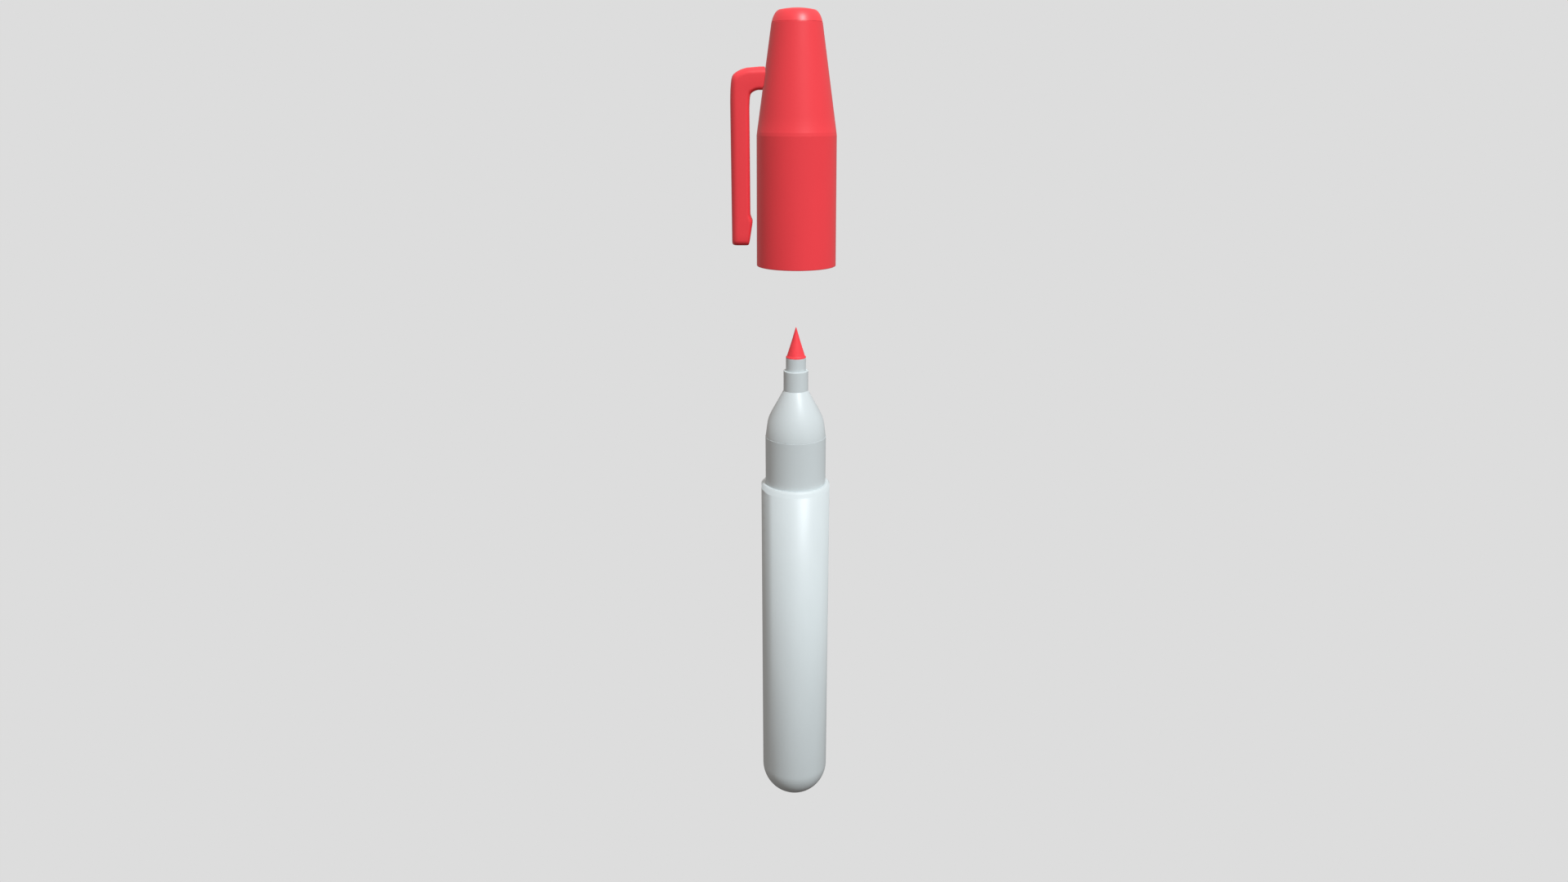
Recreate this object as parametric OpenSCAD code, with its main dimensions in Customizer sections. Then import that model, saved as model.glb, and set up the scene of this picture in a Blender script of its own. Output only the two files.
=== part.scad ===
// Whiteboard marker with its cap pulled off and held in line above the nib.
// Millimetres, +Z along the marker towards the nib and the cap. The origin is on the axis, at the
// place where the barrel is held. Inside the modules, heights count from the barrel's closed end,
// and heights in the cap count from the cap's mouth.

/* [Barrel] */
// Outside diameter of the barrel
barrel_d = 15; // [14.8:0.1:15.4]
// Length of the barrel from its rounded closed end to its open rim
barrel_length = 78.5; // [74:0.5:90]
// Thickness of the barrel's wall
barrel_wall = 1.3; // [1.2:0.05:1.4]
// Bevel around the rim
rim_bevel = 0.35; // [0.1:0.05:0.4]
// Height of the origin above the closed end
grip_height = 40; // [30:1:50]

/* [Ink reservoir] */
// Diameter of the fibre rod that holds the ink
core_d = 10.2; // [9.6:0.1:10.4]
// Thickness of the plastic film wrapped around the rod
film_thickness = 0.15; // [0.1:0.05:0.2]
// Number of standing ribs that centre the reservoir
rib_count = 6; // [4:1:8]

/* [Neck and nose] */
// Diameter of the neck ring that the cap slides over
neck_d = 13.1; // [12.9:0.05:13.2]
// Height of the neck ring above the rim
neck_length = 10.6; // [9:0.1:11]
// Height of the bullet-shaped nose
nose_length = 10.2; // [9.6:0.1:10.8]
// Diameter of the collar around the nib's sleeve
collar_d = 5.26; // [5.1:0.02:5.4]
// Height of the collar above the nose
collar_length = 4.35; // [4:0.05:4.8]

/* [Nib] */
// Diameter of the thin sleeve that grips the nib
sleeve_d = 4.26; // [4.1:0.02:4.3]
// Height of the sleeve above the collar
sleeve_length = 2.75; // [2.2:0.05:3]
// Length of the pointed end of the nib
point_length = 6.5; // [5:0.1:6.6]
// Diameter of the nib's shank
shank_d = 3; // [2.6:0.1:3.2]

/* [Cap] */
// Distance that the cap is pulled up from its seat
cap_lift = 47.3; // [0:0.1:60]
// Outside diameter of the cap at its mouth
mouth_d = 16.28; // [16.2:0.02:16.4]
// Outside diameter of the skirt just below the shoulder
shoulder_d = 15.98; // [15.9:0.02:16.1]
// Length of the skirt from the mouth to the shoulder
skirt_length = 25.8; // [25.4:0.1:26]
// Height of the bevelled band at the shoulder
band_height = 0.7; // [0.4:0.1:0.8]
// Height of the seam between the cone and the end plug above the mouth
seam_height = 46.8; // [46.6:0.1:47.2]
// Diameter of the cone at the seam
seam_d = 9.96; // [9.8:0.02:10.2]
// Height of the domed end plug above the seam
dome_height = 2.65; // [2.5:0.05:2.8]

/* [Clip] */
// Distance of the clip's outer face from the marker's axis
clip_reach = 13.15; // [13:0.05:13.4]
// Width of the clip
clip_width = 4.2; // [4.1:0.1:5]
// Height of the clip's tip above the cap's mouth
tip_height = 4.2; // [3.8:0.1:5]
// Height of the top of the clip's arm above the cap's mouth
arm_top = 38.75; // [38.5:0.05:38.9]

/* [Fits] */
// Interference of each press fit on the radius
press = 0.02; // [0.01:0.01:0.03]
// Running clearance of the cap on the neck and of the clip's knuckle, on the radius
running = 0.05; // [0.03:0.01:0.08]
// Gap left between the seated cap and the rim
seat_gap = 0.1; // [0.05:0.05:0.2]

/* [Hidden] */
$fn = 96;

barrel_r = barrel_d / 2;
bore_r = barrel_r - barrel_wall;
core_r = core_d / 2;
core_bottom = 8;
core_top = 66;
rib_width = 0.8;
rib_foot_r = 2;
rib_top = core_top - 4;
rib_taper = 2;
rib_play = 0.05;

lead_depth = 0.3;
lead_length = 0.8;
neck_r = neck_d / 2;
neck_top = barrel_length + neck_length;
neck_plug = 8;
neck_edge = 0.06;
neck_bore_r = neck_r - 1.5;
nose_top = neck_top + nose_length;
nose_r = neck_r - 0.05;
nose_spigot = 7;
nose_bore_r = 3.6;
collar_r = collar_d / 2;
collar_top = nose_top + collar_length;
collar_edge = 0.12;
collar_tail = 5;
collar_tail_r = 2.5;
sleeve_r = sleeve_d / 2;
sleeve_top = collar_top + sleeve_length;
sleeve_tail = 8;
sleeve_edge = 0.08;
shank_r = shank_d / 2;
shank_bottom = core_top - 12;
lip_r = sleeve_r;
lip_height = 0.2;
flare_height = 0.75;
point_r = 1.8;
tip_r = 0.08;

cap_base = barrel_length + seat_gap + cap_lift;
mouth_r = mouth_d / 2;
mouth_edge = 0.15;
mouth_lead = 0.35;
mouth_lead_length = 0.5;
cap_bore_r = neck_r + running;
cap_bore_length = 12.5;
liner_bore_r = cap_bore_r - 0.2;
shoulder_r = shoulder_d / 2;
cone_base = skirt_length + band_height;
cone_base_r = shoulder_r - 0.09;
seam_r = seam_d / 2;
cone_slope = (cone_base_r - seam_r) / (seam_height - cone_base);
cone_wall = 1.4;
seam_chamfer = 0.08;
plug_r = seam_r - cone_wall;
plug_length = 3;
plug_ledge = seam_height - plug_length;
crown_lean = 12;
crown_share = 0.7;
side_pull = 0.47;
shoulder_pull = 0.127;

liner_wall = 0.6;
liner_mouth = 17.3;
liner_mouth_r = 4.6;
liner_flange_bottom = 23;
liner_flange_top = 25;
liner_neck_r = 3.05;
liner_neck_height = 27.5;
liner_end = 35.4;
liner_round = 0.5;

clip_thickness = 3.75;
clip_root = 4;
arm_bottom = arm_top - 4.35;
bump_rise = 0.46;
bump_peak = 4.75;
bump_ramp = 1.35;
knuckle_r = 0.9;
knuckle_x = -5.35;
knuckle_h = 36.3;
knuckle_length = 3;
neck_half = 0.55;
flex_room = 0.15;
pocket_reach = 9;
seam_gap = 0.2;
boss_inner = 3.9;
boss_half_height = 1.9;
boss_half_width = knuckle_length / 2 + 0.6;

// Outside radius of the cap's cone at height h above the mouth
function cone_r(h) = cone_base_r - cone_slope * (h - cone_base);

// Points on an arc about [cx, cy] from angle a to angle b
function arc(cx, cy, r, a, b, steps = 16) =
    [for (i = [0:steps]) let (t = a + (b - a) * i / steps) [cx + r * cos(t), cy + r * sin(t)]];

// Points on a smooth curve from p to q that leaves p towards a and reaches q from b
function curve(p, a, b, q, steps = 40) =
    [for (i = [0:steps]) let (t = i / steps, u = 1 - t)
        u * u * u * p + 3 * t * u * u * a + 3 * t * t * u * b + t * t * t * q];

// Moves a part from heights above the closed end to the frame at the grip
module in_frame() {
    translate([0, 0, -grip_height]) children();
}

// Moves a part from heights above the cap's mouth to the frame at the grip
module in_cap() {
    in_frame() translate([0, 0, cap_base]) children();
}

// Ring between two radii and two heights, with bevelled outer edges
module tube(outer, inner, low, high, bevel = 0) {
    rotate_extrude()
        polygon([[inner, low], [outer - bevel, low], [outer, low + bevel],
                 [outer, high - bevel], [outer - bevel, high], [inner, high]]);
}

// Barrel: round-ended tube with ribs that stand the reservoir off its wall and its floor
module barrel() {
    color("azure") in_frame() difference() {
        union() {
            translate([0, 0, barrel_r]) sphere(r = barrel_r);
            translate([0, 0, barrel_r])
                cylinder(r = barrel_r, h = barrel_length - barrel_r - rim_bevel);
            translate([0, 0, barrel_length - rim_bevel])
                cylinder(r1 = barrel_r, r2 = barrel_r - rim_bevel, h = rim_bevel);
        }
        difference() {
            union() {
                translate([0, 0, barrel_r]) sphere(r = bore_r);
                translate([0, 0, barrel_r]) cylinder(r = bore_r, h = barrel_length);
            }
            for (i = [0:rib_count - 1]) rotate([0, 0, 360 * i / rib_count]) rib();
        }
    }
}

// One rib: a foot under the reservoir and a fin beside it, run into the wall
module rib() {
    fin_r = core_r + film_thickness + rib_play;
    rotate([90, 0, 0]) translate([0, 0, -rib_width / 2]) linear_extrude(rib_width)
        polygon([[rib_foot_r, 0], [barrel_r, 0], [barrel_r, rib_top], [bore_r - 0.1, rib_top],
                 [fin_r, rib_top - rib_taper], [fin_r, core_bottom], [rib_foot_r, core_bottom]]);
}

// Fibre rod that holds the ink, with a socket for the nib's shank
module reservoir_core() {
    color("lightcoral") in_frame() difference() {
        translate([0, 0, core_bottom]) cylinder(r = core_r, h = core_top - core_bottom);
        translate([0, 0, shank_bottom]) cylinder(r = shank_r - press, h = core_top);
    }
}

// Film wrapped around the fibre rod
module reservoir_sleeve() {
    color("gainsboro") in_frame()
        tube(core_r + film_thickness, core_r, core_bottom, core_top);
}

// Neck ring: its plug is pressed into the barrel, and the cap slides over it
module neck_ring() {
    plug_end = barrel_length - neck_plug;
    color("lightsteelblue") in_frame() rotate_extrude()
        polygon([[neck_bore_r, plug_end], [bore_r - lead_depth, plug_end],
                 [bore_r + press, plug_end + lead_length], [bore_r + press, barrel_length],
                 [neck_r, barrel_length], [neck_r, neck_top - neck_edge],
                 [neck_r - neck_edge, neck_top], [neck_bore_r, neck_top]]);
}

// Bullet-shaped nose: its spigot is pressed into the neck ring
module nose_cone() {
    spigot_end = neck_top - nose_spigot;
    swell = [nose_r - 0.7, neck_top + nose_length / 2];
    taper = [nose_r - 0.06, nose_top - nose_length * 0.7];
    color("azure") in_frame() rotate_extrude()
        polygon(concat(
            [[nose_bore_r, spigot_end], [neck_bore_r - lead_depth, spigot_end],
             [neck_bore_r + press, spigot_end + lead_length], [neck_bore_r + press, neck_top]],
            curve([nose_r, neck_top], swell, taper, [collar_r, nose_top]),
            [[collar_tail_r - press, nose_top], [collar_tail_r - press, nose_top - 4],
             [nose_bore_r, nose_top - 5]]));
}

// Collar: tube pressed into the end of the nose
module nib_collar() {
    color("lightsteelblue") in_frame() rotate_extrude()
        polygon([[sleeve_r - press, nose_top - collar_tail], [collar_tail_r, nose_top - collar_tail],
                 [collar_tail_r, nose_top], [collar_r, nose_top], [collar_r, collar_top - collar_edge],
                 [collar_r - collar_edge, collar_top], [sleeve_r - press, collar_top]]);
}

// Thin sleeve that grips the nib's shank
module nib_sleeve() {
    color("lightsteelblue") in_frame()
        tube(sleeve_r, shank_r - press, collar_top - sleeve_tail, sleeve_top, sleeve_edge);
}

// Nib: a sharp cone that flares to a small lip, on a shank that reaches into the reservoir.
// Its very end is blunt
module nib() {
    color("red") in_frame() rotate_extrude()
        polygon([[0, shank_bottom], [shank_r - lead_depth, shank_bottom],
                 [shank_r, shank_bottom + lead_length],
                 [shank_r, sleeve_top], [lip_r, sleeve_top], [lip_r, sleeve_top + lip_height],
                 [point_r, sleeve_top + flare_height], [tip_r, sleeve_top + point_length - tip_r],
                 [0, sleeve_top + point_length]]);
}

// Cap shell: skirt, bevelled shoulder and cone, with a pocket for the clip's knuckle
module cap_shell() {
    color("crimson") in_cap() difference() {
        union() {
            cap_wall();
            intersection() {
                translate([-cone_r(knuckle_h), -boss_half_width, knuckle_h - boss_half_height])
                    cube([cone_r(knuckle_h) - boss_inner, boss_half_width * 2, boss_half_height * 2]);
                cap_outside();
            }
        }
        knuckle_shape(knuckle_r + running, knuckle_length / 2 + running, neck_half + flex_room, pocket_reach);
    }
}

// Solid inside the cap's outer surface up to the seam
module cap_outside() {
    rotate_extrude()
        polygon([[0, 0], [mouth_r - mouth_edge, 0], [mouth_r, mouth_edge], [shoulder_r, skirt_length],
                 [cone_base_r, cone_base], [seam_r, seam_height - seam_chamfer],
                 [seam_r - seam_chamfer, seam_height], [0, seam_height]]);
}

// The cap's wall: its outside less a bore for the neck, a bore for the liner and a tapered hollow
module cap_wall() {
    difference() {
        cap_outside();
        translate([0, 0, -1]) cylinder(r = cap_bore_r, h = cap_bore_length + 1);
        translate([0, 0, -0.01])
            cylinder(r1 = cap_bore_r + mouth_lead, r2 = cap_bore_r, h = mouth_lead_length);
        cylinder(r = liner_bore_r, h = cone_base);
        translate([0, 0, cone_base - 0.01])
            cylinder(r1 = cone_base_r - cone_wall, r2 = plug_r, h = plug_ledge - cone_base + 0.01);
        cylinder(r = plug_r, h = seam_height + 1);
    }
}

// Round knuckle with the neck that joins it to the clip's arm, reaching out to a distance
module knuckle_shape(r, half_length, half_neck, reach) {
    translate([knuckle_x, 0, knuckle_h]) {
        rotate([90, 0, 0]) cylinder(r = r, h = half_length * 2, center = true);
        translate([-reach - knuckle_x, -half_length, -half_neck])
            cube([reach + knuckle_x, half_length * 2, half_neck * 2]);
    }
}

// Liner: inner cup that closes over the nose and keeps the nib from drying
module cap_liner() {
    color("whitesmoke") in_cap() rotate_extrude()
        polygon([[liner_mouth_r, liner_mouth], [liner_mouth_r + liner_wall, liner_mouth],
                 [liner_mouth_r + liner_wall, liner_flange_bottom],
                 [liner_bore_r + press, liner_flange_bottom], [liner_bore_r + press, liner_flange_top],
                 [liner_mouth_r + liner_wall, liner_flange_top],
                 [liner_neck_r + liner_wall, liner_neck_height],
                 [liner_neck_r + liner_wall, liner_end + liner_wall - liner_round],
                 [liner_neck_r + liner_wall - liner_round, liner_end + liner_wall],
                 [0, liner_end + liner_wall], [0, liner_end], [liner_neck_r, liner_end],
                 [liner_neck_r, liner_neck_height], [liner_mouth_r, liner_flange_top]]);
}

// End plug: shallow crown on leaning sides, with a spigot pressed into the top of the cone
module cap_end_plug() {
    foot = [seam_r - seam_chamfer / 2, seam_height];
    plug_end = plug_ledge + 0.2;
    crown_x = foot[0] * crown_share;
    crown_r = crown_x / sin(crown_lean);
    crown_z = seam_height + dome_height - crown_r;
    shoulder = [crown_x, crown_z + crown_r * cos(crown_lean)];
    color("crimson") in_cap() rotate_extrude()
        polygon(concat(
            [[0, plug_end], [plug_r - lead_depth, plug_end],
             [plug_r + press, plug_end + lead_length], [plug_r + press, seam_height]],
            curve(foot, foot + side_pull * dome_height * [-tan(crown_lean), 1],
                  shoulder + shoulder_pull * foot[0] * [1, -tan(crown_lean)], shoulder, 24),
            arc(0, crown_z, crown_r, 90 - crown_lean, 90)));
}

// Clip: an arm from the cone and a leaf beside the skirt with a bump near its tip
module clip() {
    inner = clip_reach - clip_thickness;
    peak = tip_height + bump_peak;
    arm_outside = [[clip_root, arm_top], [clip_reach - 7, arm_top], [clip_reach - 3.3, arm_top - 0.2],
                   [clip_reach - 1.7, arm_top - 0.75], [clip_reach - 0.85, arm_top - 1.25],
                   [clip_reach - 0.3, arm_top - 2.4], [clip_reach - 0.1, arm_top - 4]];
    leaf_outside = [[clip_reach, arm_top - 6.4], [clip_reach, tip_height + 0.35],
                    [clip_reach - 0.3, tip_height]];
    leaf_inside = [[inner + 0.45, tip_height], [inner + 0.22, tip_height + 0.3],
                   [inner - bump_rise + 0.08, peak - 0.5], [inner - bump_rise, peak],
                   [inner - bump_rise + 0.1, peak + 0.4], [inner, peak + bump_ramp]];
    arm_inside = [[inner, arm_bottom - 3.9], [inner - 0.2, arm_bottom - 1],
                  [inner - 1.4, arm_bottom], [clip_root, arm_bottom]];
    outline = concat(arm_outside, leaf_outside, leaf_inside, arm_inside);
    color("crimson") in_cap() union() {
        difference() {
            rotate([90, 0, 0]) translate([0, 0, -clip_width / 2]) linear_extrude(clip_width)
                polygon([for (p = outline) [-p[0], p[1]]]);
            translate([0, 0, cone_base])
                cylinder(r1 = cone_base_r + seam_gap, r2 = seam_r + seam_gap,
                         h = seam_height - cone_base);
        }
        knuckle_shape(knuckle_r, knuckle_length / 2, neck_half, cone_r(knuckle_h) + 1);
    }
}

barrel();
reservoir_core();
reservoir_sleeve();
neck_ring();
nose_cone();
nib_collar();
nib_sleeve();
nib();
cap_shell();
cap_liner();
cap_end_plug();
clip();
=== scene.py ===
"""Whiteboard marker with its cap pulled off: the looks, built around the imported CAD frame.

Every piece is turned or lofted from outlines in metres, in the frame's own axes: +Z along the
marker towards the nib and the cap, the clip at -X. The main radii and heights come from the boxes
of the CAD nodes, and each section names the lengths that its pieces add. An edge is the size of a
rounded corner, and a lead is the (depth, length) of the taper at a plug's foot.
"""

import math

import bmesh
import bpy
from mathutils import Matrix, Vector


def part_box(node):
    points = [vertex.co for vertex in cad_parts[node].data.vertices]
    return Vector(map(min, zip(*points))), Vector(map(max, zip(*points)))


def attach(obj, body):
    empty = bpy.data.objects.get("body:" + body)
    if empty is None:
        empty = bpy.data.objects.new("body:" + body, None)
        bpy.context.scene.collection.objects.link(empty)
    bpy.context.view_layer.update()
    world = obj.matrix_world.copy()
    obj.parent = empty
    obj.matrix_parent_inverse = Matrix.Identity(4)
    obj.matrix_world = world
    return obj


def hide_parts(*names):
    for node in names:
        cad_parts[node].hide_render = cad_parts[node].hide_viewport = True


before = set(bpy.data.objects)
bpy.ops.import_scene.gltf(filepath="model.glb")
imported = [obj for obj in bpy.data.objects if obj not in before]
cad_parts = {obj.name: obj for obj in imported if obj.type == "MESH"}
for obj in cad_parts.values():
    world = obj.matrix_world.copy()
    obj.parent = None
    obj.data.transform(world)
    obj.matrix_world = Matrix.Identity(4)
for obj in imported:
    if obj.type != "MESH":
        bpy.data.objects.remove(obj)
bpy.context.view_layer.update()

MM = 0.001
HAIR = 0.01 * MM  # too small to see: a gap between touching faces, and the slack of comparisons
ON_AXIS = 1e-9

# Fineness of the meshes: steps around, and the spans of long straight stretches of an outline
TURN_STEPS = 160
CAP_STEPS = 192
LINER_STEPS = 128
TUBE_STEPS = 120
NIB_STEPS = 96
LONGEST_SPAN = 3.0 * MM
END_SPAN = 0.12 * MM
SMOOTH_ANGLE = math.radians(32)
# A rounded corner takes up at most its side over this, a little less than half of it
ROUND_SHARE = 2.02

# Camera: how far it stands from the marker's axis, above its closed end and to its left
CAMERA_DISTANCE = 220.6 * MM
CAMERA_HEIGHT = 157.8 * MM
CAMERA_SIDE = -2.53 * MM
CAMERA_TILT_DOWN = math.radians(17.6)
CAMERA_FIELD = math.radians(45)

# Light: one soft key from the upper right, a sky that brightens overhead, a weak low fill from
# behind and a plain pale backdrop
KEY_AZIMUTH = math.radians(32)
KEY_ELEVATION = math.radians(50)
KEY_STRENGTH = 2.8
KEY_COLOR = (1.0, 1.063, 1.103)
KEY_SIZE = math.radians(7)
SKY_MIDDLE = 0.385
SKY_RISE = 0.355
SKY_COLOR = (1.0, 0.914, 0.869)
BACKDROP = 0.723
FILL_AZIMUTH = math.radians(180)
FILL_ELEVATION = math.radians(6)
FILL_STRENGTH = 1.1
FILL_COLOR = (1.0, 0.97, 0.94)
FILL_SIZE = math.radians(40)
FLOOR_DROP = 0.3
FLOOR_SIZE = 40.0

# Colours of the plastics, the nib and the ink, as linear RGB
PALE = (0.57, 0.625, 0.637)
RED = (0.865, 0.048, 0.062)
NIB_RED = (0.90, 0.050, 0.064)
MILKY = (0.62, 0.64, 0.63)
INK = (0.55, 0.03, 0.05)


# ---------------------------------------------------------------- materials

# The middle of a noise texture's values, which is stretched to the whole range
NOISE_LOW = 0.3
NOISE_HIGH = 0.7
# How far moulding and fibre marks stand out
RIPPLE_HEIGHT = 0.004 * MM
STRAND_HEIGHT = 0.012 * MM


def new_material(name):
    material = bpy.data.materials.new(name)
    material.use_nodes = True
    tree = material.node_tree
    shader = tree.nodes["Principled BSDF"]
    return material, tree, shader


def noise(tree, scale, stretch=(1, 1, 1), detail=3.0):
    """A noise texture in object space, stretched along the axes."""
    place = tree.nodes.new("ShaderNodeTexCoord")
    mapping = tree.nodes.new("ShaderNodeMapping")
    mapping.inputs["Scale"].default_value = stretch
    texture = tree.nodes.new("ShaderNodeTexNoise")
    texture.inputs["Scale"].default_value = scale
    texture.inputs["Detail"].default_value = detail
    tree.links.new(place.outputs["Object"], mapping.inputs["Vector"])
    tree.links.new(mapping.outputs["Vector"], texture.inputs["Vector"])
    return texture.outputs["Fac"]


def spread(tree, value, low, high):
    """Maps a noise value onto a range."""
    node = tree.nodes.new("ShaderNodeMapRange")
    node.inputs["From Min"].default_value = NOISE_LOW
    node.inputs["From Max"].default_value = NOISE_HIGH
    node.inputs["To Min"].default_value = low
    node.inputs["To Max"].default_value = high
    tree.links.new(value, node.inputs["Value"])
    return node.outputs["Result"]


def tint(tree, value, color, depth):
    """A colour that varies a little about the given one."""
    ramp = tree.nodes.new("ShaderNodeValToRGB")
    ramp.color_ramp.elements[0].position = NOISE_LOW
    ramp.color_ramp.elements[1].position = NOISE_HIGH
    ramp.color_ramp.elements[0].color = (*[c * (1 - depth) for c in color], 1)
    ramp.color_ramp.elements[1].color = (*[min(1, c * (1 + depth)) for c in color], 1)
    tree.links.new(value, ramp.inputs["Fac"])
    return ramp.outputs["Color"]


def bump(tree, heights, distance, below=None):
    """Normals of a bumpy skin, over those of the bumps below it."""
    node = tree.nodes.new("ShaderNodeBump")
    node.inputs["Strength"].default_value = 1.0
    node.inputs["Distance"].default_value = distance
    tree.links.new(heights, node.inputs["Height"])
    if below is not None:
        tree.links.new(below, node.inputs["Normal"])
    return node.outputs["Normal"]


def moulded_plastic(name, color, rough, grain):
    """Moulded polypropylene: faint flow marks in the colour, fine grain, and rubbed patches."""
    material, tree, shader = new_material(name)
    flow = noise(tree, scale=160, stretch=(1, 1, 0.35), detail=4)
    rubbed = noise(tree, scale=420, stretch=(1, 1, 0.2), detail=5)
    skin = noise(tree, scale=5200, detail=2)
    ripple = noise(tree, scale=260, stretch=(1, 1, 0.3), detail=1)
    tree.links.new(tint(tree, flow, color, depth=0.018), shader.inputs["Base Color"])
    tree.links.new(spread(tree, rubbed, rough - 0.02, rough + 0.03), shader.inputs["Roughness"])
    waves = bump(tree, ripple, RIPPLE_HEIGHT)
    tree.links.new(bump(tree, skin, grain, waves), shader.inputs["Normal"])
    shader.inputs["IOR"].default_value = 1.47
    return material


def fibre(name, color, rough):
    """Bonded fibre: streaks along the marker, a slight sheen and duller blotches."""
    material, tree, shader = new_material(name)
    strands = noise(tree, scale=2600, stretch=(1, 1, 0.07), detail=3)
    blotch = noise(tree, scale=700, detail=2)
    tree.links.new(tint(tree, strands, color, depth=0.07), shader.inputs["Base Color"])
    tree.links.new(spread(tree, blotch, rough - 0.08, rough + 0.05), shader.inputs["Roughness"])
    tree.links.new(bump(tree, strands, STRAND_HEIGHT), shader.inputs["Normal"])
    shader.inputs["IOR"].default_value = 1.4
    shader.inputs["Sheen Weight"].default_value = 0.05
    return material


materials = {
    "barrel_plastic": moulded_plastic("barrel_plastic", PALE, rough=0.42, grain=0.0012 * MM),
    "neck_plastic": moulded_plastic("neck_plastic", PALE, rough=0.50, grain=0.002 * MM),
    "cap_plastic": moulded_plastic("cap_plastic", RED, rough=0.39, grain=0.0014 * MM),
    "liner_plastic": moulded_plastic("liner_plastic", MILKY, rough=0.5, grain=0.002 * MM),
    "reservoir_film": moulded_plastic("reservoir_film", MILKY, rough=0.3, grain=0.001 * MM),
    "nib_felt": fibre("nib_felt", NIB_RED, rough=0.62),
    "ink_fibre": fibre("ink_fibre", INK, rough=0.8),
}


# ---------------------------------------------------------------- outlines and meshes

def soften(points, steps=6):
    """Rounds the corners of a closed outline. A point is (a, b) or (a, b, radius)."""
    out = []
    count = len(points)
    for i, point in enumerate(points):
        here = Vector(point[:2])
        if len(point) == 2:
            out.append(here)
            continue
        before = Vector(points[i - 1][:2]) - here
        after = Vector(points[(i + 1) % count][:2]) - here
        half = before.angle(after) / 2
        longest = min(before.length, after.length) / ROUND_SHARE
        reach = min(point[2] / math.tan(half), longest)
        radius = reach * math.tan(half)
        start = here + before.normalized() * reach
        end = here + after.normalized() * reach
        middle = here + (before.normalized() + after.normalized()).normalized() * radius / math.sin(half)
        first, last = start - middle, end - middle
        sweep = first.angle_signed(last)
        for k in range(steps + 1):
            turn = -sweep * k / steps
            c, s = math.cos(turn), math.sin(turn)
            out.append(middle + Vector((first.x * c - first.y * s, first.x * s + first.y * c)))
    return out


def soften_run(points, before, after):
    """Rounds the corners of an open run of points between two fixed neighbours."""
    return soften([before, *points, after])[1:-1]


def arc(center, radius, first, last, steps):
    """Points on an arc, angles in degrees from the radial direction towards +Z."""
    turns = [math.radians(first + (last - first) * k / steps) for k in range(steps + 1)]
    return [(center[0] + radius * math.cos(t), center[1] + radius * math.sin(t)) for t in turns]


def curve(start, leave, reach, end, steps):
    """Points on a cubic curve that leaves start towards one handle and reaches end from the other."""
    out = []
    for k in range(steps + 1):
        t = k / steps
        u = 1 - t
        weights = (u * u * u, 3 * t * u * u, 3 * t * t * u, t * t * t)
        pulls = list(zip(weights, (start, leave, reach, end)))
        out.append(tuple(sum(w * p[i] for w, p in pulls) for i in (0, 1)))
    return out


def lead_in(radius, bottom, lead):
    """The tapered foot of a plug, two points that help it into its bore."""
    depth, length = lead
    return [(radius - depth, bottom), (radius, bottom + length)]


def with_spans(outline, closed):
    """Adds points to long straight stretches, close to their ends too, so that they shade evenly."""
    out = []
    last = len(outline) if closed else len(outline) - 1
    for i in range(last):
        a, b = Vector(outline[i]), Vector(outline[(i + 1) % len(outline)])
        out.append(a)
        length = (b - a).length
        if length > 4 * END_SPAN:
            inner = length - 2 * END_SPAN
            parts = max(1, math.ceil(inner / LONGEST_SPAN))
            for k in range(parts + 1):
                out.append(a.lerp(b, (END_SPAN + inner * k / parts) / length))
    if not closed:
        out.append(Vector(outline[-1]))
    return out


def mesh_object(name, bm):
    """Makes an object of a bmesh, shaded smooth except at its sharp edges."""
    bmesh.ops.recalc_face_normals(bm, faces=bm.faces)
    for face in bm.faces:
        face.smooth = True
    for edge in bm.edges:
        edge.smooth = len(edge.link_faces) == 2 and edge.calc_face_angle(0) < SMOOTH_ANGLE
    mesh = bpy.data.meshes.new(name)
    bm.to_mesh(mesh)
    bm.free()
    obj = bpy.data.objects.new(name, mesh)
    bpy.context.scene.collection.objects.link(obj)
    return obj


def turn(name, outline, steps=TURN_STEPS):
    """Turns an outline of (radius, height) about the Z axis. One that starts and ends on the axis
    is closed there, any other is a closed loop."""
    on_axis = outline[0][0] < ON_AXIS and outline[-1][0] < ON_AXIS
    outline = with_spans([tuple(p[:2]) for p in outline], not on_axis)
    bm = bmesh.new()
    rings = []
    for r, z in outline:
        if r < ON_AXIS:
            rings.append([bm.verts.new((0, 0, z))])
            continue
        angles = [2 * math.pi * k / steps for k in range(steps)]
        rings.append([bm.verts.new((r * math.cos(a), r * math.sin(a), z)) for a in angles])
    pairs = list(zip(rings, rings[1:])) + ([] if on_axis else [(rings[-1], rings[0])])
    for low, high in pairs:
        if len(low) == 1 and len(high) == 1:
            continue
        for k in range(steps):
            n = (k + 1) % steps
            corners = [low[0]] if len(low) == 1 else [low[k], low[n]]
            corners += [high[0]] if len(high) == 1 else [high[n], high[k]]
            bm.faces.new(corners)
    return mesh_object(name, bm)


def lean_normals(obj, added):
    """Turns shading normals up by added(radius, height, side, tilt) degrees. The side is the angle
    round the marker from the camera's side, +90 at its right, and the tilt is the normal's own."""
    mesh = obj.data
    normals = [Vector(c.vector) for c in mesh.corner_normals]
    for loop in mesh.loops:
        x, y, z = mesh.vertices[loop.vertex_index].co
        r = math.hypot(x, y)
        if r < HAIR:
            continue
        normal = normals[loop.index]
        outward = (normal.x * x + normal.y * y) / r
        tilt = math.degrees(math.atan2(normal.z, outward))
        side = math.degrees(math.atan2(x, -y))
        tilt = math.radians(tilt + added(r, z, side, tilt))
        normals[loop.index] = Vector((math.cos(tilt) * x / r, math.cos(tilt) * y / r, math.sin(tilt)))
    mesh.normals_split_custom_set(normals)


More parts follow.
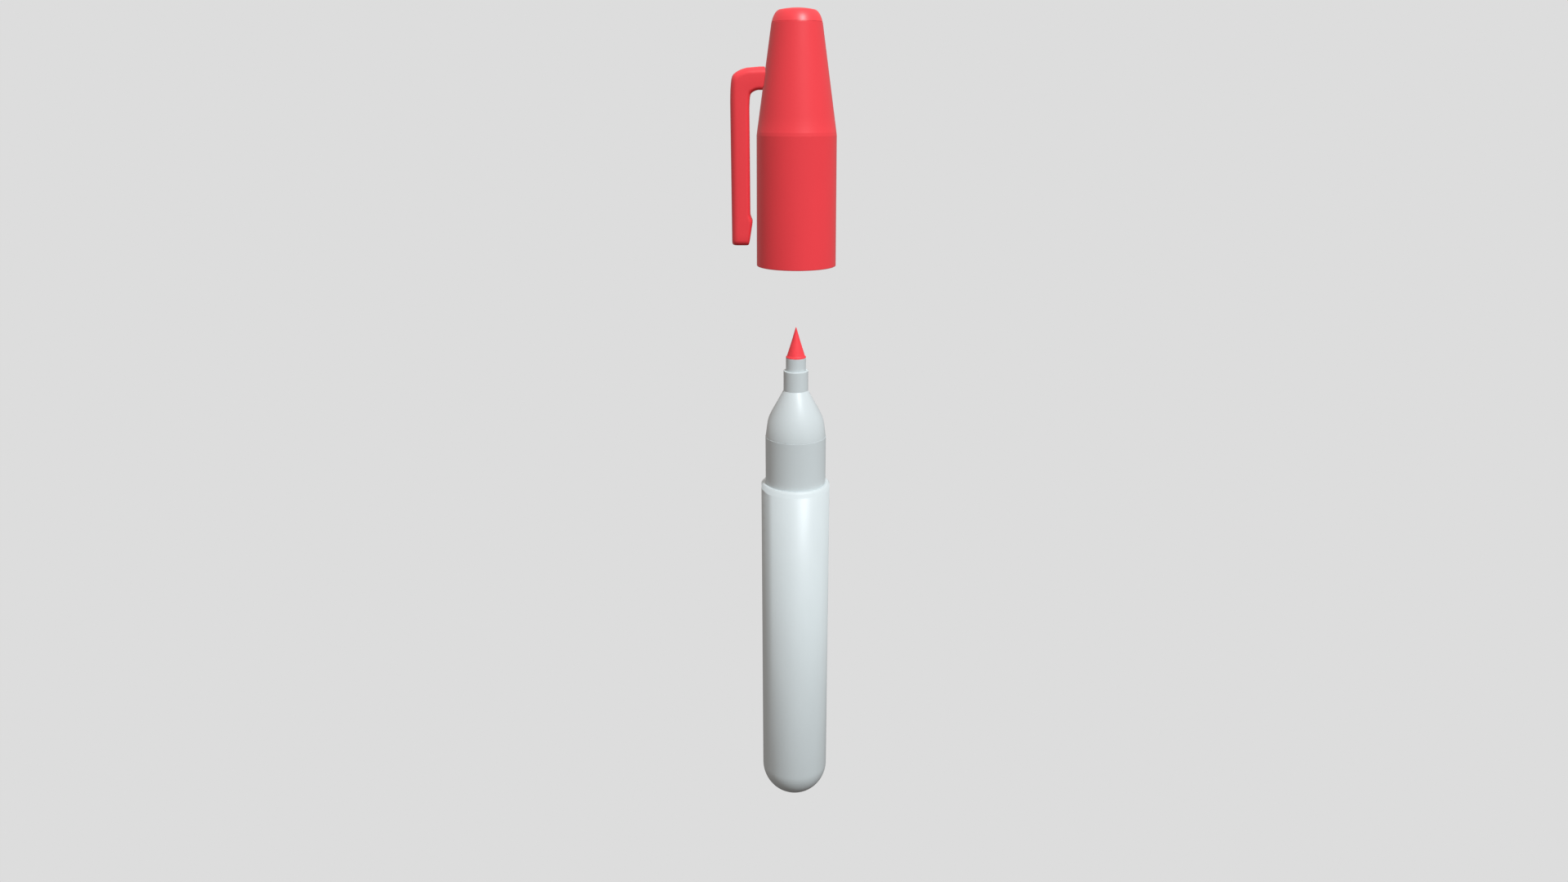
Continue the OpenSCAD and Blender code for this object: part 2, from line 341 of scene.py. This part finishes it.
def finish_piece(piece, body, slot, node):
    """Gives a piece the material of its slot and its body, and hides the CAD node that it stands for."""
    piece.data.materials.clear()
    piece.data.materials.append(materials[slot])
    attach(piece, body)
    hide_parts(node)


def radius_and_span(node):
    """Largest radius about the axis, lowest and highest height of a turned CAD node."""
    low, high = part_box(node)
    return high.x, low.z, high.z


barrel_r, closed_end, rim = radius_and_span("barrel")
neck_r, neck_bottom, neck_top = radius_and_span("neck_ring")
nose_r, nose_bottom, nose_top = radius_and_span("nose_cone")
collar_r, collar_bottom, collar_top = radius_and_span("nib_collar")
sleeve_r, sleeve_bottom, sleeve_top = radius_and_span("nib_sleeve")
lip_r, shank_bottom, nib_tip = radius_and_span("nib")
mouth_r, mouth, seam = radius_and_span("cap_shell")
liner_r, liner_mouth, liner_end = radius_and_span("cap_liner")
dome_r, dome_bottom, dome_top = radius_and_span("cap_end_plug")
clip_low, clip_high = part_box("clip")


# ---------------------------------------------------------------- marker

BARREL_WALL = 1.3 * MM
BARREL_END_STEPS = 40
BARREL_BORE_STEPS = 24
RIM_BEVEL = 0.35 * MM
RIM_EDGE = 0.06 * MM
RIM_BAND = 0.92 * MM
RIM_BAND_START = 0.12 * MM

# Shading of the barrel, in degrees: its normals lean up by RIM_LEAN at the rim and by END_LEAN at
# the other end of the straight wall, as if the wall swelled, and evenly on the band below the rim.
# The lean is full on the lit side and falls to SHADE_LEAN of it on the side in its own shade.
RIM_LEAN = 38.0
END_LEAN = -6.0
LEAN_CURVE = 1.22
RIM_BAND_LEAN = 47.0
SHADE_LEAN = 0.38
LEAN_LEFT = -52.5
LEAN_FADE_LEFT = 10.5
LEAN_RIGHT = 150.0
LEAN_FADE_RIGHT = 60.0
# Which normals are leaned: by their own tilt in degrees
STEEPEST_WALL = 20.0
FACING_DOWN = -1.0
FACING_UP = 1.0

NECK_WALL = 1.5 * MM
NECK_LEAD = (0.3 * MM, 0.8 * MM)
NECK_FOOT_EDGE = 0.2 * MM
NECK_LEDGE_EDGE = 0.02 * MM
NECK_TOP_EDGE = 0.05 * MM

# The nose's curve has two handles, each drawn in by a length at a share of its height from an end.
# Its shading tilts by a start in degrees, plus a slope and a bend over its height.
NOSE_LEAD = (0.4 * MM, 0.8 * MM)
NOSE_EDGE = 0.04 * MM
NOSE_LEAVE = (0.7 * MM, 0.5)
NOSE_REACH = (0.06 * MM, 0.7)
NOSE_STEPS = 48
NOSE_BORE = 3.6 * MM
NOSE_HOLE_LENGTH = 4.0 * MM
NOSE_HOLE_TAPER = 1.0 * MM
COLLAR_SEAT = 0.2 * MM
NOSE_TILT = (5.0, 42.0, -14.0)
NOSE_STEEPEST = 60.0

COLLAR_EDGE = 0.15 * MM
SLEEVE_EDGE = 0.05 * MM

# The nib's lip narrows to its point by a hollow curve, whose handles are (out from its end, up)
SHANK_R = 1.5 * MM
SHANK_LEAD = (0.4 * MM, 0.8 * MM)
LIP_EDGE = 0.06 * MM
LIP_HEIGHT = 0.2 * MM
FLARE_LEAVE = (-0.14 * MM, 0.3 * MM)
FLARE_REACH = (0.04 * MM, 0.5 * MM)
FLARE_HEIGHT = 0.75 * MM
POINT_R = 1.8 * MM
NIB_BLUNT = 0.1 * MM
NIB_SLOPE = 15
FLARE_STEPS = 8
BLUNT_STEPS = 6


def lit_side(side):
    """1 on the side that faces the key light, less on the side in its own shade, soft in between."""
    if side < LEAN_LEFT:
        return SHADE_LEAN
    if side < 0:
        return min(1, SHADE_LEAN + (1 - SHADE_LEAN) * (side - LEAN_LEFT) / LEAN_FADE_LEFT)
    return min(1, max(SHADE_LEAN, (LEAN_RIGHT - side) / LEAN_FADE_RIGHT))


def barrel_lean(z, center, high):
    """How far the barrel's shading leans up at a height, in degrees. It fades out on the round end."""
    if z < center:
        depth = min(1, (center - z) / barrel_r)
        return END_LEAN * (1 - depth)
    share = ((z - center) / (high - center)) ** LEAN_CURVE
    top, bottom = math.radians(RIM_LEAN), math.radians(END_LEAN)
    rise = math.sin(bottom) + share * (math.sin(top) - math.sin(bottom))
    radial = math.cos(bottom) + share * (math.cos(top) - math.cos(bottom))
    return math.degrees(math.atan2(rise, radial))


def make_barrel():
    """Round-ended tube with a bevelled rim and a bright band below it."""
    bore = barrel_r - BARREL_WALL
    center = closed_end + barrel_r
    high = rim - RIM_BEVEL
    band = high - RIM_BAND
    outline = arc((0, center), barrel_r, -90, 0, BARREL_END_STEPS)
    outline += [(barrel_r, band - RIM_BAND_START), (barrel_r, band)]
    bevel = [(barrel_r, high, RIM_EDGE), (barrel_r - RIM_BEVEL, rim, RIM_EDGE)]
    outline += soften_run(bevel, outline[-1], (bore, rim))
    outline += [(bore, rim)]
    outline += arc((0, center), bore, 0, -90, BARREL_BORE_STEPS)
    outline[0] = (0, outline[0][1])
    outline[-1] = (0, outline[-1][1])
    barrel = turn("barrel_shell", outline)

    def added(r, z, side, tilt):
        on_wall = r > barrel_r - 2 * HAIR and center <= z < high + HAIR and abs(tilt) < STEEPEST_WALL
        on_end = z < center and math.hypot(r, z - center) > barrel_r - 2 * HAIR and tilt < FACING_UP
        if not (on_wall or on_end):
            return 0
        if z > band - HAIR:
            return RIM_BAND_LEAN
        return lit_side(side) * barrel_lean(z, center, high)

    lean_normals(barrel, added)
    finish_piece(barrel, "marker", "barrel_plastic", "barrel")


def make_neck():
    """Ring that stands out of the rim, on a wider plug inside the barrel."""
    bore = neck_r - NECK_WALL
    foot, plug = lead_in(barrel_r - BARREL_WALL, neck_bottom, NECK_LEAD)
    outline = soften([
        (bore, neck_bottom), (*foot, NECK_FOOT_EDGE), plug, (plug[0], rim),
        (neck_r, rim, NECK_LEDGE_EDGE), (neck_r, neck_top, NECK_TOP_EDGE), (bore, neck_top)])
    finish_piece(turn("neck_ring_shell", outline), "marker", "neck_plastic", "neck_ring")


def make_nose():
    """Bullet-shaped nose on a spigot that sits in the neck ring."""
    spigot = neck_r - NECK_WALL
    height = nose_top - neck_top
    hole = collar_r - COLLAR_SEAT
    leave = (nose_r - NOSE_LEAVE[0], neck_top + height * NOSE_LEAVE[1])
    reach = (nose_r - NOSE_REACH[0], nose_top - height * NOSE_REACH[1])
    outline = lead_in(spigot, nose_bottom, NOSE_LEAD)
    outline += [(spigot, neck_top), (nose_r - NOSE_EDGE, neck_top)]
    outline += curve((nose_r, neck_top + NOSE_EDGE), leave, reach, (collar_r, nose_top), NOSE_STEPS)
    outline += [(hole, nose_top), (hole, nose_top - NOSE_HOLE_LENGTH)]
    outline += [(NOSE_BORE, nose_top - NOSE_HOLE_LENGTH - NOSE_HOLE_TAPER), (NOSE_BORE, nose_bottom)]
    nose = turn("nose_shell", outline)

    def added(r, z, side, tilt):
        inside = z < neck_top + 2 * HAIR or r < collar_r - 2 * HAIR
        if inside or not FACING_DOWN <= tilt <= NOSE_STEEPEST:
            return 0
        share = (z - neck_top) / height
        start, slope, bend = NOSE_TILT
        return start + slope * share + bend * share * share - tilt

    lean_normals(nose, added)
    finish_piece(nose, "marker", "barrel_plastic", "nose_cone")


def make_tube(name, node, outer, inner, low, high, edge):
    """A short tube with soft edges."""
    outline = soften([(inner, low), (outer, low, edge), (outer, high, edge), (inner, high, edge / 2)])
    finish_piece(turn(name, outline, TUBE_STEPS), "marker", "neck_plastic", node)


def make_nib():
    """Sharp cone with a small lip and a shank that reaches into the reservoir."""
    flare = sleeve_top + FLARE_HEIGHT
    leave = (lip_r + FLARE_LEAVE[0], sleeve_top + FLARE_LEAVE[1])
    reach = (POINT_R + FLARE_REACH[0], sleeve_top + FLARE_REACH[1])
    outline = [(0, shank_bottom)] + lead_in(SHANK_R, shank_bottom, SHANK_LEAD)
    outline += [(SHANK_R, sleeve_top), (lip_r - LIP_EDGE, sleeve_top), (lip_r, sleeve_top + LIP_EDGE)]
    outline += curve((lip_r, sleeve_top + LIP_HEIGHT), leave, reach, (POINT_R, flare), FLARE_STEPS)
    outline += [(POINT_R / 2, (flare + nib_tip) / 2)]
    outline += arc((0, nib_tip - NIB_BLUNT), NIB_BLUNT, NIB_SLOPE, 90, BLUNT_STEPS)
    outline[-1] = (0, nib_tip)
    finish_piece(turn("nib_point", outline, NIB_STEPS), "marker", "nib_felt", "nib")


# ---------------------------------------------------------------- cap

SKIRT_LENGTH = 25.8 * MM
BAND_HEIGHT = 0.7 * MM
SHOULDER_R = 7.99 * MM
CONE_BASE_R = 7.9 * MM
CONE_WALL = 1.4 * MM
CAP_BORE_LENGTH = 12.5 * MM
CAP_BORE_ROOM = 0.05 * MM
CAP_BORE_STEP = 0.2 * MM
SEAM_R = 4.98 * MM
PLUG_LENGTH = 3.0 * MM
MOUTH_LEAD = (0.35 * MM, 0.45 * MM)
MOUTH_LEAD_EDGE = 0.2 * MM
MOUTH_EDGE = 0.12 * MM
SHOULDER_EDGE = 0.08 * MM
CONE_EDGE = 0.12 * MM
CAP_EDGE = 0.1 * MM

# The cone's shading leans up by this many degrees at its base, and by nothing above this height
CONE_LEAN = 5.0
CONE_LEAN_HEIGHT = 2.0 * MM

# The dome's sides lean in like the edge of its crown, which takes up a share of its radius. The
# pulls are the handles of the curve between, as shares of the dome's height and of its radius.
# Its shading tilts by a start in degrees, plus a slope and a bend over each mm of height.
CROWN_LEAN = 12.0
CROWN_SHARE = 0.70
SIDE_PULL = 0.47
SHOULDER_PULL = 0.127
DOME_LEAD = (0.3 * MM, 0.6 * MM)
DOME_LEDGE = 0.12 * MM
DOME_EDGE = 0.04 * MM
DOME_STEPS = 40
CROWN_STEPS = 24
DOME_TILT = (20.8, 4.5, 3.4)

# Heights in the liner are above the cap's mouth
LINER_WALL = 0.6 * MM
LINER_WIDE_R = 4.6 * MM
LINER_NARROW_R = 3.05 * MM
LINER_FLANGE = 23.0 * MM
LINER_FLANGE_TOP = 25.0 * MM
LINER_NECK = 27.5 * MM
LINER_EDGE = 0.15 * MM
LINER_LIP = 0.1 * MM
LINER_ROUND = 0.5 * MM

cone_base = mouth + SKIRT_LENGTH + BAND_HEIGHT


def cone_radius(z):
    """Outside radius of the cap's cone at a height."""
    return CONE_BASE_R + (SEAM_R - CONE_BASE_R) * (z - cone_base) / (seam - cone_base)


def make_cap():
    """Skirt, bevelled band and cone as one hollow shell, open at the mouth."""
    bore = neck_r + CAP_BORE_ROOM
    bore_end = mouth + CAP_BORE_LENGTH
    upper = bore - CAP_BORE_STEP
    plug = SEAM_R - CONE_WALL
    lead_depth, lead_length = MOUTH_LEAD
    outline = soften([
        (bore + lead_depth, mouth, CAP_EDGE), (mouth_r, mouth, MOUTH_EDGE),
        (SHOULDER_R, mouth + SKIRT_LENGTH, SHOULDER_EDGE), (CONE_BASE_R, cone_base, CONE_EDGE),
        (SEAM_R, seam, CAP_EDGE), (plug, seam), (plug, seam - PLUG_LENGTH),
        (CONE_BASE_R - CONE_WALL, cone_base), (upper, cone_base), (upper, bore_end, CAP_EDGE),
        (bore, bore_end, CAP_EDGE), (bore, mouth + lead_length, MOUTH_LEAD_EDGE)])
    cap = turn("cap_body", outline, CAP_STEPS)

    def added(r, z, side, tilt):
        on_cone = z > cone_base - 5 * HAIR and r > cone_radius(z) - 5 * HAIR
        if not on_cone or not 0 < tilt < STEEPEST_WALL:
            return 0
        return CONE_LEAN * max(0, 1 - (z - cone_base) / CONE_LEAN_HEIGHT)

    lean_normals(cap, added)
    finish_piece(cap, "cap", "cap_plastic", "cap_shell")


def make_dome():
    """Shallow crown on leaning sides with a soft shoulder between, over a spigot inside the cone."""
    height = dome_top - seam
    slope = math.tan(math.radians(CROWN_LEAN))
    crown_x = dome_r * CROWN_SHARE
    crown_r = crown_x / math.sin(math.radians(CROWN_LEAN))
    crown_z = dome_top - crown_r
    ledge = seam + HAIR
    side_pull = height * SIDE_PULL
    shoulder_pull = dome_r * SHOULDER_PULL
    shoulder = (crown_x, crown_z + crown_r * math.cos(math.radians(CROWN_LEAN)))
    leave = (dome_r - side_pull * slope, ledge + side_pull)
    reach = (crown_x + shoulder_pull, shoulder[1] - shoulder_pull * slope)
    spigot = SEAM_R - CONE_WALL
    outline = [(0, dome_bottom)] + lead_in(spigot, dome_bottom, DOME_LEAD)
    outline += [(spigot, ledge), (dome_r - DOME_LEDGE, ledge)]
    outline += curve((dome_r, ledge + DOME_EDGE), leave, reach, shoulder, DOME_STEPS)
    outline += arc((0, crown_z), crown_r, 90 - CROWN_LEAN, 90, CROWN_STEPS)[1:]
    outline[-1] = (0, dome_top)
    dome = turn("cap_dome", outline, CAP_STEPS)

    def added(r, z, side, tilt):
        if z < ledge or r < crown_x or tilt < FACING_DOWN:
            return 0
        above = (z - seam) / MM
        start, slope, bend = DOME_TILT
        return max(0, start + slope * above + bend * above * above - tilt)

    lean_normals(dome, added)
    finish_piece(dome, "cap", "cap_plastic", "cap_end_plug")


def make_liner():
    """Milky inner cup that closes over the nose and the nib."""
    wide, narrow = LINER_WIDE_R, LINER_NARROW_R
    wide_out, narrow_out = wide + LINER_WALL, narrow + LINER_WALL
    flange_low, flange_high = mouth + LINER_FLANGE, mouth + LINER_FLANGE_TOP
    neck_start = mouth + LINER_NECK
    outline = [(0, liner_end - LINER_WALL), (narrow, liner_end - LINER_WALL)]
    outline += [(narrow, neck_start), (wide, flange_high), (wide, liner_mouth + LINER_LIP)]
    outline += [(wide + LINER_EDGE, liner_mouth), (wide_out - LINER_EDGE, liner_mouth)]
    outline += [(wide_out, liner_mouth + LINER_EDGE), (wide_out, flange_low)]
    outline += [(liner_r, flange_low), (liner_r, flange_high), (wide_out, flange_high)]
    outline += [(narrow_out, neck_start), (narrow_out, liner_end - LINER_ROUND)]
    outline += [(narrow_out - LINER_EDGE, liner_end - LINER_EDGE), (narrow_out - LINER_ROUND, liner_end)]
    outline += [(0, liner_end)]
    finish_piece(turn("cap_liner_cup", outline, LINER_STEPS), "cap", "liner_plastic", "cap_liner")


# ---------------------------------------------------------------- clip

CLIP_THICKNESS = 3.75 * MM
ARM_THICKNESS = 4.35 * MM
STRAIGHT_STEPS = 8

# A section's corners are rounded by (reach across the clip, depth from its side)
OUTER_ROUND = (1.4 * MM, 1.75 * MM)
INNER_ROUND = (0.75 * MM, 0.75 * MM)
DEEPEST_ROUND = 0.9
CORNER_STEPS = 9
TIP_ROUND = 1.1 * MM
TIP_SHRINK = 0.4

# The arm runs to ARM_END from the axis, ends on the cone with a fine seam, and its inset root goes
# on to ROOT_REACH from the axis. The shares place the sections between the corner and ARM_END.
ARM_END = 7.3 * MM
ARM_SHARES = (0.35, 0.7, 1.0)
SEAM_GAP = 0.2 * MM
ROOT_INSET = 0.4 * MM
ROOT_SCALE = 0.7
ROOT_REACH = 5.4 * MM


# The clip's outline, in mm. The leaf's rows are a height above its tip, and how far out
# the inner and the outer edge are from the plain leaf's: a rounded tip, a bump and the plain leaf.
LEAF_ROWS = [
    (0.0, 0.55, -0.40), (0.08, 0.42, -0.24), (0.2, 0.32, -0.12), (0.4, 0.24, -0.04),
    (0.7, 0.17, 0.0), (1.1, 0.10, 0.0), (2.2, -0.08, 0.0), (3.3, -0.26, 0.0), (4.0, -0.37, 0.0),
    (4.45, -0.43, 0.0), (4.75, -0.45, 0.0), (4.95, -0.43, 0.0), (5.15, -0.36, 0.0), (5.5, -0.22, 0.0),
    (5.85, -0.08, 0.0), (6.1, -0.02, 0.0), (6.4, 0.0, 0.0)]
# The corner's rows are the inner edge's place and then the outer edge's, each as how far in from the
# leaf's edge and down from the arm's top. The leaf is straight up to CORNER_START below that top.
CORNER_START = 8.0
CORNER_ROWS = [
    (0.03, 7.1, 0.0, 6.5), (0.08, 6.25, 0.04, 5.1), (0.13, 5.75, 0.09, 4.1), (0.2, 5.4, 0.17, 3.2),
    (0.29, 5.14, 0.28, 2.4), (0.42, 4.96, 0.45, 1.82), (0.62, 4.79, 0.72, 1.42),
    (0.84, 4.66, 1.12, 1.1), (1.08, 4.54, 1.6, 0.81), (1.35, 4.44, 2.1, 0.57),
    (1.6, 4.37, 2.7, 0.37), (1.9, 4.35, 3.3, 0.21)]


def clip_stations():
    """Pairs of points along the clip, inner and outer edge, as (distance from the axis, height)."""
    outer = -clip_low.x / MM
    inner = outer - CLIP_THICKNESS / MM
    tip, top = clip_low.z / MM, clip_high.z / MM
    pairs = [((inner + i, tip + h), (outer + o, tip + h)) for h, i, o in LEAF_ROWS]
    low = tip + LEAF_ROWS[-1][0]
    straight = top - CORNER_START - low
    for k in range(1, STRAIGHT_STEPS + 1):
        h = low + straight * k / STRAIGHT_STEPS
        pairs.append(((inner, h), (outer, h)))
    pairs += [((inner - a, top - b), (outer - c, top - d)) for a, b, c, d in CORNER_ROWS]
    return [(Vector(i) * MM, Vector(o) * MM) for i, o in pairs]


def clip_section(inner, outer, half, scale=1.0):
    """Closed section between the two edges: wide soft corners outside, small ones inside."""
    along = outer - inner
    width = along.length
    direction = along / width
    points = []
    outside, inside = (width, OUTER_ROUND), (0, INNER_ROUND)
    corners = ((1, outside), (-1, outside), (-1, inside), (1, inside))
    for number, (side, (edge, (reach, depth))) in enumerate(corners):
        reach = reach * scale
        depth = min(depth * scale, half * DEEPEST_ROUND)
        center = (edge - reach if edge else reach, side * (half - depth))
        first = (90, 0, -90, -180)[number]
        for k in range(CORNER_STEPS + 1):
            angle = math.radians(first - 90 * k / CORNER_STEPS)
            u = center[0] + reach * math.cos(angle)
            v = center[1] + depth * math.sin(angle)
            place = inner + direction * u
            points.append(Vector((-place.x, v, place.y)))
    return points


def on_cone(point):
    """The point moved along X onto the cone's outside, a fine seam away from it."""
    surface = cone_radius(point.z) + SEAM_GAP
    return Vector((-math.sqrt(surface * surface - point.y * point.y), point.y, point.z))


def make_clip():
    """Leaf and arm as one loft with soft edges, and the root that reaches into the cone's wall."""
    half = clip_high.y
    stations = clip_stations()
    sections = []
    for inner, outer in stations:
        rise = inner.y - clip_low.z
        sunk = 0.0
        if rise < TIP_ROUND:
            sunk = TIP_ROUND - math.sqrt(TIP_ROUND ** 2 - (TIP_ROUND - rise) ** 2)
        sections.append(clip_section(inner, outer, half - sunk, 1 - TIP_SHRINK * sunk / TIP_ROUND))
    top = clip_high.z
    end_inner, end_outer = Vector((ARM_END, top - ARM_THICKNESS)), Vector((ARM_END, top))
    for share in ARM_SHARES:
        inner, outer = [a.lerp(b, share) for a, b in zip(stations[-1], (end_inner, end_outer))]
        sections.append(clip_section(inner, outer, half))
    sections.append([on_cone(p) for p in clip_section(end_inner, end_outer, half)])
    inset = Vector((0, ROOT_INSET))
    root = clip_section(end_inner + inset, end_outer - inset * 2, half - ROOT_INSET, ROOT_SCALE)
    sections.append([on_cone(p) for p in root])
    sections.append([Vector((-ROOT_REACH, p.y, p.z)) for p in root])
    bm = bmesh.new()
    rings = [[bm.verts.new(p) for p in section] for section in sections]
    for low_ring, high_ring in zip(rings, rings[1:]):
        for k in range(len(low_ring)):
            n = (k + 1) % len(low_ring)
            bm.faces.new((low_ring[k], low_ring[n], high_ring[n], high_ring[k]))
    bm.faces.new(rings[0])
    bm.faces.new(rings[-1])
    clip = mesh_object("clip_leaf_and_arm", bm)
    # As in the photograph, the clip throws no reflected light onto the cap
    clip.visible_diffuse = False
    clip.visible_glossy = False
    finish_piece(clip, "clip_leaf", "cap_plastic", "clip")


# ---------------------------------------------------------------- stage

def make_backdrop():
    """Pale floor well below the marker and a sky: the camera sees one even pale tone."""
    bm = bmesh.new()
    bmesh.ops.create_grid(bm, x_segments=4, y_segments=4, size=FLOOR_SIZE / 2)
    floor = mesh_object("floor", bm)
    floor.location = (0, 0, closed_end - FLOOR_DROP)
    material, tree, shader = new_material("pale_floor")
    shader.inputs["Base Color"].default_value = (0, 0, 0, 1)
    shader.inputs["Specular IOR Level"].default_value = 0
    shader.inputs["Emission Color"].default_value = (1, 1, 1, 1)
    shader.inputs["Emission Strength"].default_value = BACKDROP
    floor.data.materials.append(material)
    for kind in ("diffuse", "glossy", "transmission", "shadow"):
        setattr(floor, "visible_" + kind, False)


def make_sky():
    """Light that brightens evenly from below to above; the camera sees the plain backdrop instead."""
    world = bpy.data.worlds.new("studio")
    world.use_nodes = True
    bpy.context.scene.world = world
    tree = world.node_tree
    tree.nodes.clear()
    place = tree.nodes.new("ShaderNodeTexCoord")
    split = tree.nodes.new("ShaderNodeSeparateXYZ")
    rise = tree.nodes.new("ShaderNodeMath")
    rise.operation = "MULTIPLY_ADD"
    rise.inputs[1].default_value = SKY_RISE
    rise.inputs[2].default_value = SKY_MIDDLE
    sky = tree.nodes.new("ShaderNodeBackground")
    sky.inputs["Color"].default_value = (*SKY_COLOR, 1)
    plain = tree.nodes.new("ShaderNodeBackground")
    plain.inputs["Color"].default_value = (1, 1, 1, 1)
    plain.inputs["Strength"].default_value = BACKDROP
    path = tree.nodes.new("ShaderNodeLightPath")
    pick = tree.nodes.new("ShaderNodeMixShader")
    out = tree.nodes.new("ShaderNodeOutputWorld")
    tree.links.new(place.outputs["Generated"], split.inputs["Vector"])
    tree.links.new(split.outputs["Z"], rise.inputs[0])
    tree.links.new(rise.outputs[0], sky.inputs["Strength"])
    tree.links.new(path.outputs["Is Camera Ray"], pick.inputs["Fac"])
    tree.links.new(sky.outputs["Background"], pick.inputs[1])
    tree.links.new(plain.outputs["Background"], pick.inputs[2])
    tree.links.new(pick.outputs["Shader"], out.inputs["Surface"])


def make_sun(name, azimuth, elevation, strength, color, size):
    """A far soft light. Azimuth 0 is the camera's side, and +90 degrees its right."""
    light = bpy.data.lights.new(name, "SUN")
    light.energy = strength
    light.color = color
    light.angle = size
    sun = bpy.data.objects.new(name, light)
    towards = Vector((math.sin(azimuth) * math.cos(elevation),
                      -math.cos(azimuth) * math.cos(elevation), math.sin(elevation)))
    sun.rotation_euler = towards.to_track_quat("Z", "Y").to_euler()
    sun.location = towards
    bpy.context.scene.collection.objects.link(sun)
    return sun


def make_camera():
    """The photograph's camera: level from side to side, and tilted down."""
    data = bpy.data.cameras.new("camera")
    data.sensor_fit = "VERTICAL"
    data.angle = CAMERA_FIELD
    data.clip_start = 0.01
    camera = bpy.data.objects.new("camera", data)
    camera.location = (CAMERA_SIDE, -CAMERA_DISTANCE, closed_end + CAMERA_HEIGHT)
    camera.rotation_euler = (math.pi / 2 - CAMERA_TILT_DOWN, 0, 0)
    bpy.context.scene.collection.objects.link(camera)
    bpy.context.scene.camera = camera


make_camera()
bpy.context.scene.view_settings.view_transform = "Standard"
make_barrel()
make_neck()
make_nose()
make_tube("nib_collar_tube", "nib_collar", collar_r, sleeve_r, collar_bottom, collar_top, COLLAR_EDGE)
make_tube("nib_sleeve_tube", "nib_sleeve", sleeve_r, SHANK_R, sleeve_bottom, sleeve_top, SLEEVE_EDGE)
make_nib()
make_cap()
make_dome()
make_liner()
make_clip()
for node, slot in (("reservoir_core", "ink_fibre"), ("reservoir_sleeve", "reservoir_film")):
    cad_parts[node].data.materials.clear()
    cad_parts[node].data.materials.append(materials[slot])
make_backdrop()
make_sky()
make_sun("key", KEY_AZIMUTH, KEY_ELEVATION, KEY_STRENGTH, KEY_COLOR, KEY_SIZE)
fill = make_sun("fill", FILL_AZIMUTH, FILL_ELEVATION, FILL_STRENGTH, FILL_COLOR, FILL_SIZE)
fill.visible_glossy = False
